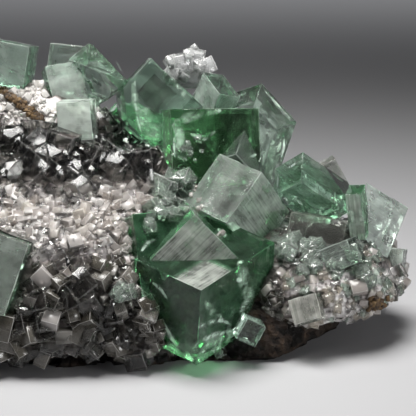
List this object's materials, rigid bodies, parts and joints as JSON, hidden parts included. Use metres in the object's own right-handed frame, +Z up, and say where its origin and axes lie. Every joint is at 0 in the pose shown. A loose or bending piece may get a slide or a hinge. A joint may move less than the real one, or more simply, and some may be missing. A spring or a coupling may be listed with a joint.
{
  "type": "fluorite cluster",
  "caption": "Cluster of green cubic fluorite crystals, many of them penetration twins, on a pale sugary crust of small cubes over dark spongy ironstone with a flat face to rest on",
  "frame": {"origin": "middle of the bounding box on the rest plane under the matrix", "axes": "+X along the length towards the end with the striated twins, +Y away from the viewer to the back, +Z up"},
  "size_m": [0.0788, 0.0504, 0.0412],
  "materials": {
    "rock": "rough, spongy",
    "crust": "sugary, glittering",
    "green": "clear polished, growth striations",
    "pale": "frosted clear, growth striations",
    "clear": "clear polished",
    "druse": "fine glittering cubes"
  },
  "bodies": {
    "root": {"matrix": "rock", "crust": "crust", "front_twin": "green", "centre_cluster": "green", "right_twin": "green", "left_rear_twin": "green", "left_corner_crystal": "green", "left_end_twin": "green", "left_end_cube": "green", "back_cube": "green", "back_low_cube": "green", "teal_cube": "green", "front_left_crystal": "pale", "shoulder_crystal": "pale", "far_right_twin": "pale", "left_rear_cube": "pale", "pale_block": "pale", "right_end_crystal": "pale", "low_right_cube": "pale", "clear_cube": "clear", "clear_shard": "clear", "drusy_cap": "druse"}
  },
  "joints": []
}
